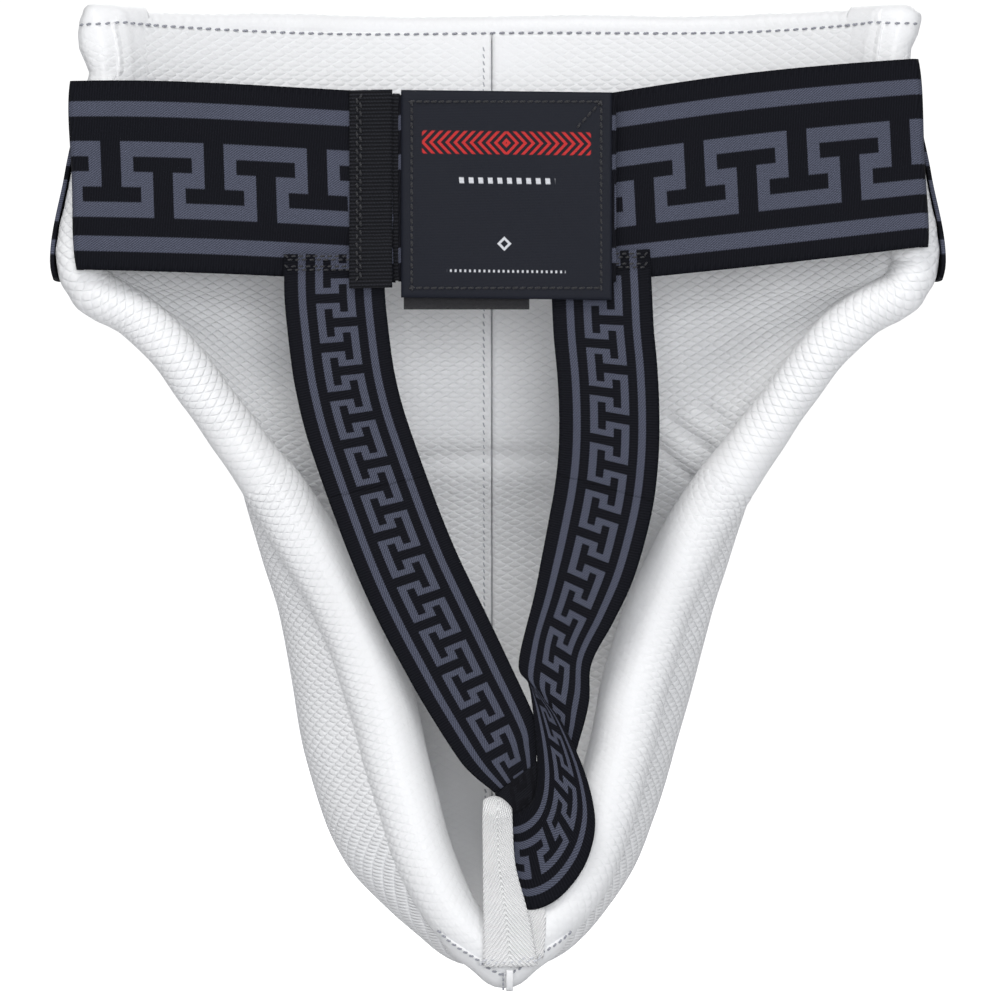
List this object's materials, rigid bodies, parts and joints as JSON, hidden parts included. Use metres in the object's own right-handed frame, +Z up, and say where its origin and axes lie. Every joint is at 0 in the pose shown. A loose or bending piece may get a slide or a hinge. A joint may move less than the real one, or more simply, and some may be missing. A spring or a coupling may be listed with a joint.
{
  "type": "groin protector",
  "caption": "Padded groin guard with a moulded cup, winged leg cut-outs, an elastic waistband closed by a peel-off tab, and an elastic leg strap threaded through a tape loop.",
  "frame": {"origin": "centre of the waist opening, at the mid-height of the waistband's left fold", "axes": "+Z up along the wearer's body, +X to the wearer's right, +Y forwards, away from the wearer"},
  "size_m": [0.287, 0.0989, 0.3167],
  "materials": {
    "cover": "embossed, satin",
    "lining": "fine grained, satin",
    "foam": "closed-cell foam",
    "hard_cup": "moulded",
    "elastic": "jacquard woven",
    "webbing": "coarse woven nylon",
    "loop_pile": "brushed pile",
    "label": "satin woven",
    "cotton_tape": "twill woven",
    "white_thread": "spun",
    "grey_thread": "spun",
    "black_thread": "spun"
  },
  "bodies": {
    "shell": {"outer_cover_left": "cover", "outer_cover_right": "cover", "lining_left": "lining", "lining_right": "lining", "inner_foam_pad": "foam", "belly_foam_pad": "foam", "hard_cup": "hard_cup", "leg_roll_left": "cover", "leg_roll_right": "cover", "leg_core_left": "foam", "leg_core_right": "foam", "cup_roll": "lining", "cup_roll_core": "foam", "top_hem": "cover", "hem_core": "foam", "hem_stitching": "white_thread", "centre_stitching": "white_thread", "tip_binding": "cover", "front_band_left": "elastic", "front_band_right": "elastic", "band_anchor_left": "elastic", "band_anchor_right": "elastic", "leg_strap_left": "elastic", "leg_strap_right": "elastic"},
    "band_left": {"waistband_left": "elastic", "hook_webbing": "webbing", "strap_tack_left": "grey_thread"},
    "band_right": {"waistband_right": "elastic", "loop_patch": "loop_pile", "strap_tack_right": "grey_thread"},
    "closure_tab": {"closure_backing": "elastic", "closure_label": "label", "label_stitching": "black_thread", "hook_patch": "webbing"},
    "keeper": {"keeper_loop": "cotton_tape", "loop_tack": "white_thread", "leg_strap_bight": "elastic"}
  },
  "joints": [
    {"name": "band_left_open", "type": "hinge", "parent": "shell", "child": "band_left", "pos_m": [-0.1336, -0.0252, 0], "axis": [-0.0349, 0, -0.9994], "range_deg": [0, 80], "deforming": ["leg_strap_left"]},
    {"name": "band_right_open", "type": "hinge", "parent": "shell", "child": "band_right", "pos_m": [0.1336, -0.0252, 0.007], "axis": [-0.0523, 0, 0.9986], "range_deg": [0, 40], "deforming": ["leg_strap_right"]},
    {"name": "closure_peel", "type": "hinge", "parent": "band_left", "child": "closure_tab", "pos_m": [-0.0326, -0.0309, -0.0045], "axis": [0, 0, -1], "range_deg": [0, 60]},
    {"name": "keeper_swing", "type": "hinge", "parent": "shell", "child": "keeper", "pos_m": [0.005, -0.0252, -0.251], "axis": [0.9965, 0, 0.0841], "range_deg": [0, 20], "deforming": ["leg_strap_left", "leg_strap_right"]}
  ],
  "couplings": [
    {"joint": "band_right_open", "follows": "band_left_open", "ratio": 0.5}
  ]
}
